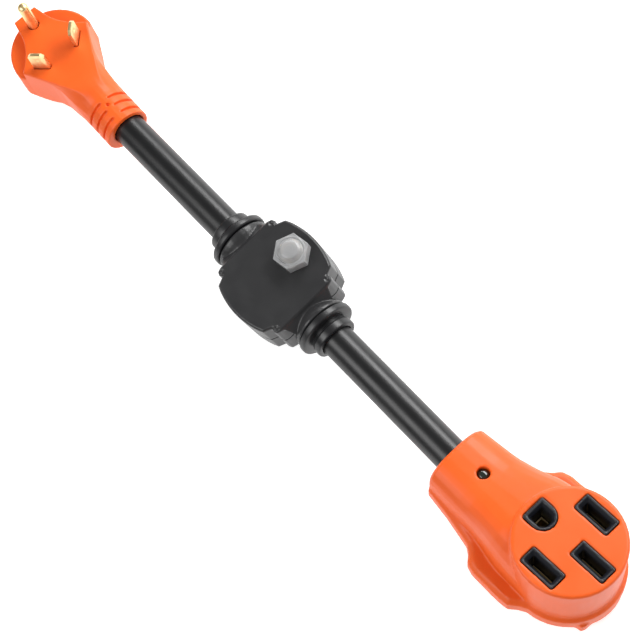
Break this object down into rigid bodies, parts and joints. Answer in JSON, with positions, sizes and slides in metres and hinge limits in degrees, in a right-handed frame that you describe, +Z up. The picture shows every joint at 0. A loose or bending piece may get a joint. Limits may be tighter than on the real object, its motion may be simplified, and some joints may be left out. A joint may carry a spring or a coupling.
{
  "type": "power adapter lead",
  "caption": "Short heavy cable that adapts a three-pin shore-power plug to a larger four-slot connector, with an in-line resettable breaker box.",
  "frame": {"origin": "middle of the breaker box's flat underside", "axes": "+X runs along the straight cable from the plug to the connector, +Z is up, out of the side that carries the reset boot"},
  "size_m": [0.4149, 0.0652, 0.0532],
  "materials": {
    "orange_pvc": "semi-gloss",
    "housing_plastic": "satin",
    "collar_rubber": "satin",
    "cable_jacket": "satin",
    "socket_core": "satin",
    "phenolic": "matt",
    "natural_nylon": "matt",
    "brass": "polished",
    "zinc_steel": "satin",
    "clear_silicone": "translucent satin",
    "lamp_lens": "gloss",
    "black_insulation": "satin",
    "white_insulation": "satin",
    "green_insulation": "satin"
  },
  "bodies": {
    "breaker_box": {"housing_upper_shell": "housing_plastic", "housing_lower_shell": "housing_plastic", "housing_screw_1": "zinc_steel", "housing_screw_2": "zinc_steel", "housing_screw_3": "zinc_steel", "housing_screw_4": "zinc_steel", "cable_collar_connector": "collar_rubber", "cable_collar_plug": "collar_rubber", "breaker_case": "phenolic", "breaker_cover": "phenolic", "breaker_bushing": "brass", "boot_nut": "zinc_steel", "trip_spring": "zinc_steel", "breaker_terminal_in": "brass", "breaker_terminal_out": "brass", "neutral_splice": "zinc_steel", "ground_splice": "zinc_steel", "seal_boot": "clear_silicone", "cable_jacket_plug": "cable_jacket", "cable_jacket_connector": "cable_jacket", "line_wire_plug": "black_insulation", "line_wire_connector": "black_insulation", "neutral_wire_plug": "white_insulation", "neutral_wire_connector": "white_insulation", "ground_wire_plug": "green_insulation", "ground_wire_connector": "green_insulation"},
    "plug": {"plug_shell": "orange_pvc", "plug_blade_carrier": "natural_nylon", "ground_pin": "brass", "line_blade": "brass", "neutral_blade": "brass"},
    "connector": {"connector_shell": "orange_pvc", "connector_core": "socket_core", "contact_cover": "natural_nylon", "line_contact_a": "brass", "line_contact_b": "brass", "line_bridge": "brass", "neutral_contact": "brass", "ground_contact": "brass", "power_lamp": "lamp_lens", "lamp_resistor": "natural_nylon"},
    "reset_button": {"reset_button": "socket_core", "contact_bridge": "brass"}
  },
  "joints": [
    {"name": "plug_cable_flex", "type": "hinge", "parent": "breaker_box", "child": "plug", "pos_m": [-0.079, 0, 0.014], "axis": [0, 0, 1], "range_deg": [-25, 25], "stiffness_Nm_per_rad": 0.3, "deforming": ["cable_jacket_plug", "line_wire_plug", "neutral_wire_plug", "ground_wire_plug"]},
    {"name": "connector_cable_flex", "type": "hinge", "parent": "breaker_box", "child": "connector", "pos_m": [0.079, 0, 0.014], "axis": [0, 0, 1], "range_deg": [-25, 25], "stiffness_Nm_per_rad": 0.3, "deforming": ["cable_jacket_connector", "line_wire_connector", "neutral_wire_connector", "ground_wire_connector"]},
    {"name": "reset_button_slide", "type": "slide", "parent": "breaker_box", "child": "reset_button", "axis": [0, 0, 1], "range_m": [0, 0.0024], "deforming": ["trip_spring"]}
  ]
}
